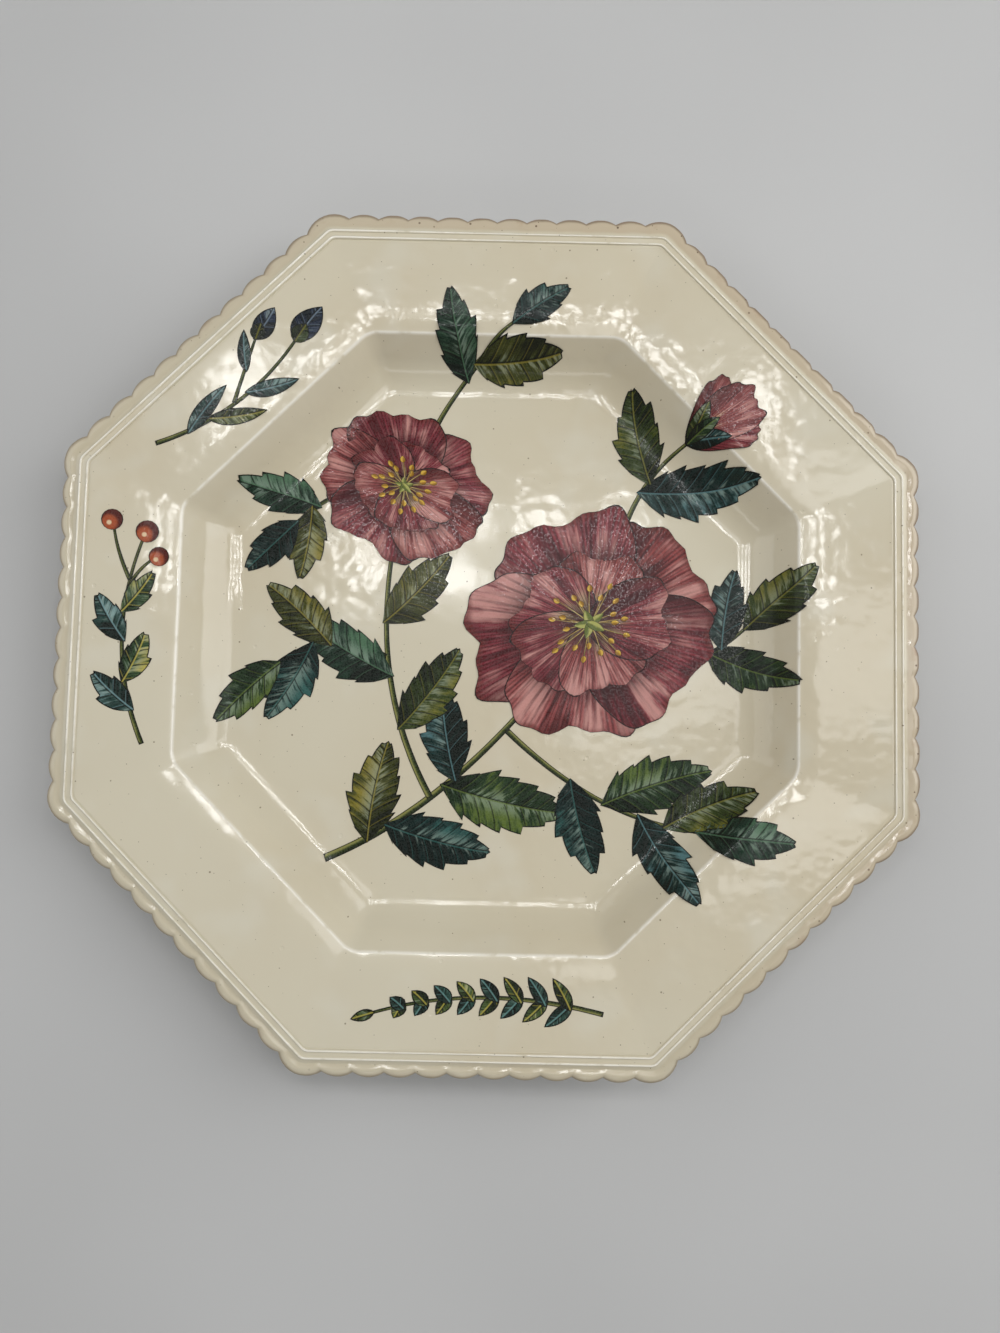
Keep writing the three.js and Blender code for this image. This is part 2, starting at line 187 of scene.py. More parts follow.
bpy.ops.mesh.select_all(action="SELECT")
bpy.ops.mesh.remove_doubles(threshold=0.004 * MM)
bpy.ops.object.mode_set(mode="OBJECT")


def octagon(apothem, share):
    """Places on a round-cornered octagon, each at a share of a side, in that side's own frame."""
    corner = np.interp(apothem, CORNERS_AT, CORNER_RADII)
    angle = np.arctan(share * HALF_SIDE)
    reach = (apothem - corner) / math.cos(SIDE_TURN / 2)
    off = SIDE_TURN / 2 - np.abs(angle)
    arc = reach * np.cos(off) + np.sqrt(np.maximum(corner ** 2 - (reach * np.sin(off)) ** 2, 0))
    straight = np.abs(share) * apothem <= apothem - corner
    radius = np.where(straight, apothem / np.cos(angle), arc)
    return radius * np.cos(angle), radius * np.sin(angle)


def lobes(share):
    """Places on the scalloped edge, and how far across its lobe each one is, from -1 to 1."""
    count = (share + 1) / 2 * LOBE_SPACES
    lobe = np.round(count)
    across = 2 * (count - lobe)
    turn = across * NOTCH_TURN
    first = -SIDE_TURN / 2 + across * (NOTCH_TURN + SIDE_TURN / 2)
    last = SIDE_TURN / 2 + across * (NOTCH_TURN + SIDE_TURN / 2)
    turn = np.where(lobe == 0, first, np.where(lobe == LOBE_SPACES, last, turn))
    middle = (2 * lobe - LOBE_SPACES) * LOBE_HALF
    return LOBE_LINE + LOBE_RADIUS * np.cos(turn), middle + LOBE_RADIUS * np.sin(turn), across


# The spun section is drawn out to eight sides and its lip to lobes, each one a low dome. The lip is
# pressed deeper on the near side than on the far one.
spun = np.empty(len(plate.data.vertices) * 3)
plate.data.vertices.foreach_get("co", spun)
spun = spun.reshape(-1, 3) / MM
apothem = np.hypot(spun[:, 0], spun[:, 1])
height = spun[:, 2]
column = np.round(np.arctan2(spun[:, 1], spun[:, 0]) / SIDE_TURN * side_columns)
side = column // side_columns
share = 2 * (column % side_columns) / side_columns - 1
lip = np.clip((apothem - LIP_ROOT) / LIP_WIDTH, 0, 1)
inner_x, inner_y = octagon(np.minimum(apothem, LIP_ROOT), share)
outer_x, outer_y, across = lobes(share)
wear = np.select([side == worn for worn in EDGE_WEAR], EDGE_WEAR.values(), 0) * (1 - share ** 2)
outer_x = np.minimum(outer_x, RIM - wear)
flat_x = inner_x + (outer_x - inner_x) * lip
flat_y = inner_y + (outer_y - inner_y) * lip
swell = np.clip((lip - 0.3) / 0.7, 0, 1) * np.clip((height - LIP_FOOT) / (CREST - LIP_FOOT), 0, 1)
height = height - NOTCH_DIP * across ** 2 * swell
turn = side * SIDE_TURN
pressing = LIP_PRESSING - LIP_PRESSED_ASKEW * np.sin(turn)
on_lip = (lip > 0) & (height > REED_BASE - 1.5)
height = np.where(on_lip, LIP_BASE + (height - LIP_BASE) * pressing, height)
shaped = np.stack((
    flat_x * np.cos(turn) - flat_y * np.sin(turn),
    flat_x * np.sin(turn) + flat_y * np.cos(turn),
    height,
), axis=1)
plate.data.vertices.foreach_set("co", (shaped * MM).ravel())

# Where glaze gathers, in the grooves beside the reeds, between the lobes and round the foot of the well,
# and where it runs thin and pale along the reeds and the arris above the well, with a painted highlight
# laid over those thin lines.
on_front = spun[:, 2] > LIP_FOOT + 1
pool = 0.4 * np.exp(-((apothem - WALL_FOOT) / 4) ** 2)
GROOVES = ((PANEL_OUT + 0.4, 0.25), (sum(REED_CRESTS) / 2, 0.3), (LIP_GROOVE, 0.5))
for groove, depth in GROOVES:
    pool = np.maximum(pool, depth * np.exp(-((apothem - groove) / 0.45) ** 2) * on_front)
pool = np.maximum(pool, np.abs(across) ** 6 * swell)
# The thin glaze on the arris and the reed crests also carries a painted highlight line.
thin_glaze_highlight = 0.9 * np.exp(-((apothem - ARRIS) / 0.32) ** 2) * (height > WELL_FLOOR + 9)
for crest in REED_CRESTS:
    thin_glaze_highlight = np.maximum(thin_glaze_highlight, np.exp(-((apothem - crest) / 0.22) ** 2) * on_front)
for name, values in (("pool", pool), ("thin_glaze_highlight", thin_glaze_highlight), ("lip", lip)):
    plate.data.attributes.new(name, "FLOAT", "POINT").data.foreach_set("value", values)

bpy.ops.object.mode_set(mode="EDIT")
bpy.ops.mesh.select_all(action="SELECT")
bpy.ops.mesh.normals_make_consistent(inside=False)
bpy.ops.object.mode_set(mode="OBJECT")

# No hand-pressed plate is true: the sides bow and the panels wander a little, above a foot ground level.
pressed = plate.vertex_groups.new(name="pressed")
pressed.add([int(i) for i in np.nonzero(height > WELL_FLOOR / 2)[0]], 1, "REPLACE")
for name, size, strength in (("bow", 70, 0.6), ("ripple", 16, 0.14)):
    unevenness = bpy.data.textures.new(name, "CLOUDS")
    unevenness.noise_scale = size * MM
    wander = plate.modifiers.new(name, "DISPLACE")
    wander.texture = unevenness
    wander.strength = strength * MM
    wander.mid_level = 0.5
    wander.vertex_group = "pressed"
    bpy.ops.object.modifier_apply(modifier=name)
bpy.ops.object.shade_smooth_by_angle(angle=math.radians(40))


def colour(code):
    """A colour written as six hexadecimal digits, as the linear light that a shader takes."""
    values = [int(code[i:i + 2], 16) / 255 for i in (0, 2, 4)]
    return (*[v / 12.92 if v <= 0.04045 else ((v + 0.055) / 1.055) ** 2.4 for v in values], 1)


class Paint:
    """A shader value. Arithmetic on it adds Math nodes, where | takes the larger of two, and node() adds
    any other node."""

    def __init__(self, tree, socket=None):
        self.tree = tree
        self.socket = socket

    def node(self, kind, sockets=None, out=0, **settings):
        made = self.tree.nodes.new(kind)
        for name, value in settings.items():
            setattr(made, name, value)
        for name, value in (sockets or {}).items():
            if isinstance(value, Paint):
                self.tree.links.new(value.socket, made.inputs[name])
            else:
                made.inputs[name].default_value = value
        return Paint(self.tree, made.outputs[out])

    def sum(self, operation, *values):
        return self.node("ShaderNodeMath", dict(enumerate(values)), operation=operation)

    def __add__(self, other):
        return self.sum("ADD", self, other)

    def __sub__(self, other):
        return self.sum("SUBTRACT", self, other)

    def __rsub__(self, other):
        return self.sum("SUBTRACT", other, self)

    def __mul__(self, other):
        return self.sum("MULTIPLY", self, other)

    def __truediv__(self, other):
        return self.sum("DIVIDE", self, other)

    def __mod__(self, other):
        return self.sum("FLOORED_MODULO", self, other)

    def __abs__(self):
        return self.sum("ABSOLUTE", self)

    def __or__(self, other):
        return self.sum("MAXIMUM", self, other)

    __radd__ = __add__
    __rmul__ = __mul__


def new_paint(name):
    """A new material, the start of its shader values and its one surface shader."""
    material = bpy.data.materials.new(name)
    material.use_nodes = True
    return material, Paint(material.node_tree), material.node_tree.nodes["Principled BSDF"]


def fade(value, low, high):
    """From 0 where the value is low to 1 where it is high, eased at both ends."""
    sockets = {"Value": value, "From Min": low, "From Max": high}
    return value.node("ShaderNodeMapRange", sockets, interpolation_type="SMOOTHSTEP")


def over(under, above, mask):
    """One colour laid over another where the mask is 1."""
    return mask.node("ShaderNodeMix", {0: mask, 6: under, 7: above}, out=2, data_type="RGBA")


def mottle(place, scale, detail=2.0, rough=0.5):
    """Cloudy values from 0 to 1, so many clouds to the metre."""
    sockets = {"Vector": place, "Scale": scale, "Detail": detail, "Roughness": rough}
    return place.node("ShaderNodeTexNoise", sockets, out="Fac")


def specks(place, scale, radius, kept):
    """Round specks of a radius in metres, one to a cell, on the share of the cells that is kept."""
    sockets = {"Vector": place, "Scale": scale}
    cell = place.node("ShaderNodeTexVoronoi", sockets, out="Color", voronoi_dimensions="2D")
    distance = place.node("ShaderNodeTexVoronoi", sockets, out="Distance", voronoi_dimensions="2D")
    red = cell.node("ShaderNodeSeparateColor", {0: cell}, out="Red")
    green = cell.node("ShaderNodeSeparateColor", {0: cell}, out="Green")
    size = (0.35 + 0.65 * green) * (radius * scale)
    return fade(distance / size, 1.15, 0.7) * fade(red, kept + 0.02, kept - 0.02)


def glaze_waves(place):
    """The shallow waves that the glaze ran into before it set, and the pits left by its last bubbles."""
    beaten = 0.15 + 0.75 * fade(mottle(place, 13, 1.0), 0.4, 0.62)
    height = 0.65 * mottle(place, 85, 1.0)
    height = height + 0.85 * beaten * mottle(place, 210, 1.0)
    height = height - 0.25 * specks(place, 70, 0.6 * MM, 0.3)
    return place.node("ShaderNodeBump", {"Height": height, "Distance": 0.22 * MM, "Strength": 1.0})


def set_surface(shader, paint, **sockets):
    """Links or sets the inputs of a surface shader, whose names are written with underscores."""
    for name, value in sockets.items():
        target = shader.inputs[name.replace("_", " ")]
        if isinstance(value, Paint):
            paint.tree.links.new(value.socket, target)
        else:
            target.default_value = value


glaze, paint, shader = new_paint("ivory_glaze")
place = paint.node("ShaderNodeTexCoord", out="Object")
x = place.node("ShaderNodeSeparateXYZ", {0: place}, out="X")
y = place.node("ShaderNodeSeparateXYZ", {0: place}, out="Y")
pooled = paint.node("ShaderNodeAttribute", out="Fac", attribute_name="pool")
thin_glaze_highlight_mask = paint.node("ShaderNodeAttribute", out="Fac", attribute_name="thin_glaze_highlight")
lip_share = paint.node("ShaderNodeAttribute", out="Fac", attribute_name="lip")
ivory = over(colour("d8d0b9"), colour("d3c8ae"), fade(mottle(place, 14, 3.0), 0.35, 0.7))
ivory = over(ivory, colour("ddd8c6"), 0.5 * fade(mottle(place, 55, 2.0), 0.5, 0.75))
ivory = over(ivory, colour("a89c7c"), 0.35 * pooled)
# Thin glaze on the reed crests and the arris, painted near white as a highlight line as well.
ivory = over(ivory, colour("fffbf0"), 0.85 * thin_glaze_highlight_mask * fade(mottle(place, 170, 3.0, 0.6), 0.25, 0.5))
# Old wear and kitchen stains, worst on the lobes of the upper right.
worst = fade(0.8 * x + 0.6 * y, -0.06, 0.11)
on_rim = fade(lip_share, 0.02, 0.3)
ivory = over(ivory, colour("c4b99f"), 0.5 * on_rim)
ivory = over(ivory, colour("c3ae94"), 0.5 * on_rim * worst)
blotch = fade(mottle(place, 120, 3.0, 0.6), 0.56, 0.72)
stain = fade(lip_share, 0.3, 0.8) * blotch * (0.15 + 0.85 * worst)
ivory = over(ivory, colour("a17f63"), 0.6 * stain)
worn = fade(lip_share + 0.12 * (mottle(place, 260, 3.0, 0.6) - 0.5), 0.74, 0.9) * (0.7 + 0.3 * worst)
ivory = over(ivory, colour("77634f"), 0.75 * worn)
fleck = specks(place, 105, 0.3 * MM, 0.32) | specks(place, 240, 0.16 * MM, 0.3)
rim_fleck = specks(place, 210, 0.34 * MM, 0.5) * fade(lip_share, 0.05, 0.5) * (0.2 + 0.8 * worst)
grime = specks(place, 520, 0.3 * MM, 0.45) * fade(pooled, 0.5, 0.8) * fade(mottle(place, 40, 2.0), 0.5, 0.6)
ivory = over(ivory, colour("7a6b54"), 0.75 * fleck)
ivory = over(ivory, colour("5d4535"), 0.85 * rim_fleck | 0.7 * grime)
set_surface(
    shader, paint,
    Base_Color=ivory,
    Roughness=0.09 + 0.04 * mottle(place, 60, 2.0) + 0.4 * worn,
    Normal=glaze_waves(place),
    IOR=1.5,
)

biscuit, paint, shader = new_paint("bare_biscuit")
place = paint.node("ShaderNodeTexCoord", out="Object")
grit = mottle(place, 900, 4.0, 0.65)
clay = over(colour("d2bd98"), colour("b99e78"), fade(mottle(place, 90, 4.0, 0.6), 0.4, 0.65))
clay = over(clay, colour("8a7458"), 0.6 * fade(mottle(place, 35, 3.0), 0.52, 0.7))
clay = over(clay, colour("6f5b45"), 0.7 * specks(place, 420, 0.25 * MM, 0.35))
tooth = place.node("ShaderNodeBump", {"Height": grit, "Distance": 0.06 * MM, "Strength": 1.0})
set_surface(shader, paint, Base_Color=clay, Roughness=0.75 + 0.2 * grit, Normal=tooth)

plate.data.materials.append(glaze)
plate.data.materials.append(biscuit)
FOOT_WIPE = 0.6 * MM
for face in plate.data.polygons:
    if face.center.z < FOOT_WIPE:
        face.material_index = 1
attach(plate, "root")
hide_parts("biscuit_body", "glaze_coat", "base_glaze")


# The leaves and twigs of the large spray: engraved outlines and veins printed on the glaze from a
# transfer, filled in by hand with green and blue enamels and fired on. Each leaf is a film of its own,
# laid a hair above the one that it overlaps.
FILM_LIFT = 0.06
FILM_STEP = 0.003
ARRIS_LIFT = 0.1
BRIDGE_HALF = 1.5
BRIDGE_FALL = 2.0
FILM_THICKNESS = 0.03
DRAWN_AT = 40
LEAF_ROOT = 1.5
LEAF_SWAY = 0.14
STEM_TAPER = 0.4
TOOTH_PITCH = 5.2
TOOTH_CELLS = 6
TOOTH_DEPTH = 0.2
TOOTH_LEAN = 1.2
VEIN_PITCH = 4.6
CELL = 1.0
GRID_EDGE = 0.499
GOLDEN = 0.618034


def seed_of(layer):
    """A number from 0 to 1 that tells one film from the next."""
    return layer * GOLDEN % 1


def curve_at(curve, share):
    """Places on a stem's curve, which starts, bends and ends at three points, and the way it runs there."""
    start, bend, end = (np.array(point, float) for point in curve)
    s = np.asarray(share, float)[:, None]
    place = (1 - s) ** 2 * start + 2 * s * (1 - s) * bend + s ** 2 * end
    run = (1 - s) * (bend - start) + s * (end - bend)
    return place, run / np.linalg.norm(run, axis=1, keepdims=True)


def turned(degrees):
    """The matrix of a turn in the plane of the print."""
    angle = math.radians(degrees)
    return np.array(((math.cos(angle), -math.sin(angle)), (math.sin(angle), math.cos(angle))))


def film(shape, cells, lie, at, colours, enamel, layer, cover=0.0):
    """One brushful of enamel: a grid drawn to a shape, turned and moved to its place over the plate.
    The shape gives where each point of the grid lies, and how far along and across the stroke it is.
    The cover is the share of the stroke, from its root, that lies under others."""
    bpy.ops.object.select_all(action="DESELECT")
    bpy.ops.mesh.primitive_grid_add(x_subdivisions=cells[0], y_subdivisions=cells[1], size=1)
    mesh = bpy.context.object.data
    grid = np.empty(len(mesh.vertices) * 3)
    mesh.vertices.foreach_get("co", grid)
    grid = grid.reshape(-1, 3)
    drawn, along, across = shape(grid[:, 0] + 0.5, grid[:, 1] * 2)
    rim = (np.abs(grid[:, :2]) > GRID_EDGE).any(axis=1)
    inset = np.linalg.norm(drawn[:, None] - drawn[None, rim], axis=2).min(axis=1)
    placed = drawn @ np.asarray(lie).T + np.asarray(at)
    points = np.column_stack((placed, np.full(len(grid), DRAWN_AT))) * MM
    mesh.vertices.foreach_set("co", points.ravel())
    tint, wash = (colour(code)[:3] for code in colours)
    for name, kind, field, values in (
        ("stroke", "FLOAT_VECTOR", "vector", np.column_stack((along, across, inset))),
        ("tint", "FLOAT_COLOR", "color", np.tile((*tint, seed_of(layer)), (len(grid), 1))),
        ("wash", "FLOAT_COLOR", "color", np.tile((*wash, cover), (len(grid), 1))),
        ("lift", "FLOAT", "value", np.full(len(grid), (FILM_LIFT + layer * FILM_STEP) * MM)),
    ):
        mesh.attributes.new(name, kind, "POINT").data.foreach_set(field, values.ravel())
    mesh.materials.append(enamel)
    return bpy.context.object


def leaf_shape(length, width, sway=0.0, teeth=0, seed=0.0):
    """A leaf that tapers to both ends, bends sideways towards its tip and may have uneven teeth."""
    def shape(along, across):
        left = 1 - along
        x = length * (0.75 * left ** 2 * along + 2.1 * left * along ** 2 + along ** 3)
        y = sway * (left * along ** 2 + along ** 3)
        half = width * (2.16 * left ** 2 * along + 1.68 * left * along ** 2)
        if teeth:
            step = np.round(along * teeth * TOOTH_CELLS)
            saw = step % TOOTH_CELLS / (TOOTH_CELLS - 1)
            uneven = 1 + 0.45 * np.sin(2.4 * (step // TOOTH_CELLS) + 2 * np.sign(across) + 40 * seed)
            half = half * (1 - TOOTH_DEPTH / 2 + TOOTH_DEPTH * uneven * saw)
            x = x + TOOTH_LEAN * saw * across ** 4 * (along < 0.97)
        return np.column_stack((x - LEAF_ROOT, y + across * half)), x, across * half
    return shape


def stem_shape(curve, width):
    """A stem that tapers along its curve."""
    length = math.dist(curve[0], curve[2])

    def shape(along, across):
        place, run = curve_at(curve, along)
        half = width / 2 * (1 - STEM_TAPER * along) * across
        aside = np.column_stack((-run[:, 1], run[:, 0]))
        return place + aside * half[:, None], along * length, half
    return shape


def draw_stem(curve, width, colours, enamel, layer, ground):
    """A stem on a ground, which is the way that a print is turned and where its own origin lies."""
    turn, shift = ground
    cells = (max(8, round(1.2 * math.dist(curve[0], curve[2]) / CELL)), 4)
    return film(stem_shape(curve, width), cells, turned(turn), turned(turn) @ shift, colours, enamel, layer)


def heading_at(curve, share):
    """A place on a stem's curve, and the direction that the stem has there in degrees."""
    place, run = curve_at(curve, [share])
    return place[0], math.degrees(math.atan2(run[0, 1], run[0, 0]))


def draw_leaf(curve, leaf, colours, enamel, layer, ground, toothed=False):
    """A leaf on a stem. It is given as a share of the stem, a turn from it, a length and a width."""
    share, turn, length, width = leaf
    place, heading = heading_at(curve, share)
    sway = -np.sign(turn) * LEAF_SWAY * length
    teeth = round(length / TOOTH_PITCH) if toothed else 0
    cells = (teeth * TOOTH_CELLS or max(4, round(length / CELL)), max(4, 2 * round(width / CELL / 2)))
    lie = turned(ground[0] + heading + turn)
    at = turned(ground[0]) @ (place + ground[1])
    shape = leaf_shape(length, width, sway, teeth, seed_of(layer))
    return film(shape, cells, lie, at, colours, enamel, layer)


def laid_down(films, name):
    """The films as one print: joined, laid down on the plate and given their thickness. Above the arris
    they bridge its sharp turn in an easy curve, so that each lies clear of the plate and of the others."""
    bpy.ops.object.select_all(action="DESELECT")
    for piece in films:
        piece.select_set(True)
    bpy.context.view_layer.objects.active = films[0]
    bpy.ops.object.join()
    piece = bpy.context.object
    piece.name = piece.data.name = name
    fall = piece.modifiers.new("fall", "SHRINKWRAP")
    fall.target = plate
    fall.wrap_method = "PROJECT"
    fall.use_project_z = True
    fall.use_positive_direction = False
    fall.use_negative_direction = True
    bpy.ops.object.modifier_apply(modifier="fall")
    points = np.empty(len(piece.data.vertices) * 3)
    piece.data.vertices.foreach_get("co", points)
    lift = np.empty(len(piece.data.vertices))
    piece.data.attributes["lift"].data.foreach_get("value", lift)
    sides = np.arange(SIDES) * SIDE_TURN
    apothem = (points[0::3, None] * np.cos(sides) + points[1::3, None] * np.sin(sides)).max(axis=1) / MM
    off = np.abs(apothem - ARRIS)
    near = np.minimum(off, BRIDGE_HALF)
    bridge = (WALL_SLOPE - SHOULDER_SLOPE) * near * (2 * BRIDGE_HALF - near) / (4 * BRIDGE_HALF)
    bridge = (ARRIS_LIFT + bridge) * np.exp(-((off - near) / BRIDGE_FALL) ** 2)
    points[2::3] += lift + bridge * MM
    piece.data.vertices.foreach_set("co", points)
    bpy.ops.object.mode_set(mode="EDIT")
    bpy.ops.mesh.select_all(action="SELECT")
    bpy.ops.mesh.remove_doubles(threshold=0.001 * MM)
    bpy.ops.object.mode_set(mode="OBJECT")
    body = piece.modifiers.new("body", "SOLIDIFY")
    body.thickness = FILM_THICKNESS * MM
    body.offset = -1
    bpy.ops.object.modifier_apply(modifier="body")
    bpy.ops.object.shade_smooth_by_angle(angle=math.radians(30))
    return piece


def stroke_values(paint):
    """What a film says of itself: along, across and inset, its two colours, its seed and its cover."""
    stroke = paint.node("ShaderNodeAttribute", out="Vector", attribute_name="stroke")
    values = [stroke.node("ShaderNodeSeparateXYZ", {0: stroke}, out=axis) for axis in range(3)]
    for name in ("tint", "wash"):
        values.append(paint.node("ShaderNodeAttribute", out="Color", attribute_name=name))
    for name in ("tint", "wash"):
        values.append(paint.node("ShaderNodeAttribute", out="Alpha", attribute_name=name))
    return values


def lines(value, width):
    """Engraved lines, one at each whole number, whose width is a share of their pitch."""
    return fade(abs(value % 1 - 0.5), 0.5 - width, 0.5 - 0.35 * width)


def enamel_surface(shader, paint, place, body):
    """The skin of fired enamel: dull where the print's dots stand up, and bright between them."""
    dots = mottle(place, 1900, 2.0, 0.6)
    tooth = {"Height": dots, "Distance": 0.024 * MM, "Strength": 1.0, "Normal": glaze_waves(place)}
    set_surface(
        shader, paint,
        Base_Color=body,
        Roughness=0.5 - 0.42 * fade(dots, 0.49, 0.57),
        Normal=place.node("ShaderNodeBump", tooth),
        IOR=1.35,
    )


INK = colour("0e100a")
leaf_enamel, paint, shader = new_paint("leaf_enamel")
place = paint.node("ShaderNodeTexCoord", out="Object")
along, across, inset, tint, wash, seed, _ = stroke_values(paint)
off = abs(across)
cloud = mottle(place, 75, 3.0)
sweep = (along - 0.85 * off + 0.03 * off * off) / VEIN_PITCH + 7 * seed
brushed = paint.node("ShaderNodeCombineXYZ", {0: 4 * sweep, 1: 0.25 * off, 2: 11 * seed})
feather = mottle(brushed, 1.0, 3.0, 0.6)
lit_half = fade(10 * (seed - 0.5) * across, -1, 1)
tone = 0.05 + 0.24 * lit_half + 1.2 * (cloud - 0.5) + 0.9 * (feather - 0.5) + 0.2 * fade(along, 1, 15)
tone = tone + 0.12 * (1 - sweep % 1)
body = over(tint, colour("0b110a"), 0.88 * fade(tone, 0.44, 0.08))
body = over(body, wash, 0.85 * fade(tone, 0.42, 0.8))
sheen = fade(tone + feather, 0.9, 1.2) * fade(off, 4.5, 0.6)
body = over(body, colour("a4b4a6"), 0.35 * sheen)
body = over(body, INK, 0.45 * lines(6 * sweep + 0.8 * cloud, 0.32) * fade(tone, 0.7, 0.2))
body = over(body, wash, 0.3 * lines(sweep + 0.5 - 0.09, 0.05))
body = over(body, INK, 0.75 * lines(sweep + 0.5, 0.07) * fade(off, 0.1, 0.5))
body = over(body, INK, 0.8 * fade(abs(across - 0.32), 0.3, 0.1))
body = over(body, wash, 0.6 * fade(abs(across + 0.05), 0.3, 0.1) * fade(inset, 0.1, 0.7))
body = over(body, INK, fade(inset + 0.25 * (cloud - 0.5), 0.48, 0.2))
enamel_surface(shader, paint, place, body)

stem_enamel, paint, shader = new_paint("stem_enamel")
place = paint.node("ShaderNodeTexCoord", out="Object")
along, across, inset, tint, wash, *_ = stroke_values(paint)
grain = mottle(place, 260, 3.0)
body = over(tint, wash, fade(across + 0.8 * (grain - 0.5), -0.1, 0.5))
body = over(body, colour("1d2412"), 0.8 * fade(across + 0.9 * (grain - 0.5), -0.05, -0.5))
body = over(body, INK, 0.4 * lines(along / 0.9 + 2 * grain, 0.35) * fade(across, 0.35, -0.2))
body = over(body, INK, 0.95 * fade(inset, 0.34, 0.14))
enamel_surface(shader, paint, place, body)

WELL = (0, np.zeros(2))
STEM = ("3f4a22", "85844a")
GREENS = (
    ("36431a", "7d7931"),
    ("17302c", "5f8689"),
    ("24391f", "627433"),
    ("122724", "39655f"),
    ("42461c", "908436"),
    ("1e3527", "527558"),
)
SPRAY_TWIGS = (
    (((-46, -64), (-8, -48), (26, 0)), 2.4,
     ((0.16, 58, 30, 15), (0.24, -54, 32, 15), (0.46, -60, 38, 17), (0.5, 66, 28, 14))),
    (((-16, -46), (-38, -8), (-26, 42)), 2.0,
     ((0.26, -62, 30, 14), (0.44, 58, 32, 15), (0.62, -52, 28, 14))),
    (((6, -26), (34, -52), (62, -54)), 1.8,
     ((0.34, -50, 28, 14), (0.52, 52, 34, 16), (0.7, -46, 28, 13), (0.84, 44, 28, 13), (1, 0, 26, 13))),
    (((-30, -5), (-48, 4), (-62, -8)), 1.6, ((0.5, -56, 26, 13), (0.66, 50, 26, 13), (1, -4, 25, 12))),
    (((36, 22), (42, 50), (58, 60)), 1.8, ((0.5, -64, 34, 16), (0.6, 56, 28, 14))),
    (((-18, 62), (-10, 80), (6, 92)), 1.6, ((0.5, 60, 24, 12), (0.62, -50, 26, 12), (1, 4, 19, 10))),
    (((52, -6), (66, -4), (76, 6)), 1.6, ((0.5, -54, 26, 13), (0.66, 56, 24, 12), (1, 0, 25, 13))),
    (((-42, 44), (-50, 42), (-58, 34)), 1.6, ((0.6, -58, 24, 12), (0.7, 52, 22, 11), (1, 0, 21, 11))),
)
films = []
for curve, width, _ in SPRAY_TWIGS:
    films.append(draw_stem(curve, width, STEM, stem_enamel, len(films), WELL))
for curve, _, leaves in SPRAY_TWIGS:
    for leaf in leaves:
        greens = GREENS[len(films) * 5 % len(GREENS)]
        films.append(draw_leaf(curve, leaf, greens, leaf_enamel, len(films), WELL, toothed=True))
spray_layers = len(films)
spray_leaves = laid_down(films, "spray_leaves")
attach(spray_leaves, "root")
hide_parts("blossom_spray")


# The flowers of the large spray: two open blooms and a bud, printed in fine lines from the heart of each
# petal to its edge and filled in with rose and crimson enamel, paler where the light falls.
ROSES = (
    ("8c3b43", "431217"),
    ("7e313a", "4a1819"),
    ("974c4b", "4a1a18"),
    ("86343c", "380e13"),
    ("924341", "431217"),
)
PETALS = 5
INNER_REACH = 0.64
INNER_TURN = 36
PETAL_STRAY = 5
PETAL_BREADTH = 0.42
STAMENS = 22
STAMEN_REACH = 0.27
STAMEN_WIDTH = 0.55
KNOB_SIZE = (2.6, 1.9)
POD_LENGTH = 0.17
POD_WIDTH = 0.075
STAMEN_COLOURS = ("b98f3c", "e2cf8e")
KNOB_COLOURS = ("93691a", "d3ab3f")
POD_COLOURS = ("5f6a2c", "a9a85c")
RUFFLE = 0.035
SMALL_BLOOM = ((-26, 46), 28, 50, -30, 0.8)
LARGE_BLOOM = ((30, 6), 39, 18, 24, 0.88)


def petal_shape(reach, seed):
    """A broad petal, notched and ruffled, whose points say how far out and how far round they are."""
    def shape(along, across):
        left = 1 - along
        rim = reach * (0.3 * left ** 2 * along + 3.6 * left * along ** 2 + 0.95 * along ** 3)
        middle = reach * 0.95 * (1 - left ** 2.2)
        x = middle + (rim - middle) * across ** 2
        y = reach * across * (1.8 * left ** 2 * along + 2.7 * left * along ** 2)
        out = np.hypot(x, y) / reach
        turn = np.arctan2(y, x)
        wave = np.sin(9 * turn + 40 * seed) + 0.6 * np.sin(21 * turn + 70 * seed)
        grown = 1 + RUFFLE * wave * out ** 4
        return np.column_stack((x * grown - LEAF_ROOT, y * grown)), out, turn
    return shape


petal_enamel, paint, shader = new_paint("petal_enamel")
place = paint.node("ShaderNodeTexCoord", out="Object")
out, turn, inset, tint, wash, seed, cover = stroke_values(paint)
fan = paint.node("ShaderNodeCombineXYZ", {0: 8 * turn + 50 * seed, 1: 1.4 * out, 2: 9 * seed})
coarse = mottle(fan, 0.5, 2.0)
fine = mottle(fan, 2.4, 3.0, 0.6)
cloud = mottle(place, 60, 2.0)
tone = 1.6 * (coarse - 0.5) + 0.9 * (fine - 0.5) + 0.7 * (cloud - 0.5)
body = over(tint, colour("cf9990"), 0.8 * fade(tone + 0.2 * fade(out, 0.35, 0.8), 0.12, 0.5))
body = over(body, wash, 0.85 * fade(tone, -0.02, -0.32))
body = over(body, colour("e0cb9c"), 0.75 * fade(out, 0.62, 0.3) * fade(coarse + 0.3 * fine, 0.62, 0.76))
rim_wash = fade(inset + 8 * (cloud - 0.5), 2.4, 0.2) * fade(out, 0.55, 0.85)
body = over(body, colour("6e2f2a"), 0.75 * rim_wash)
under_others = 0.85 * fade(out - cover, 0.26, -0.06)
turned_away = 0.7 * fade(turn + 0.5 * (fine - 0.5), 0.25, 0.8) * fade(out, 0.1, 0.4)
body = over(body, colour("32110f"), under_others | turned_away)
long_lines = lines(11 * turn + 0.8 * coarse, 0.22) * fade(out + 0.6 * fine, 1.5, 0.8)
body = over(body, colour("2a1012"), 0.6 * long_lines)
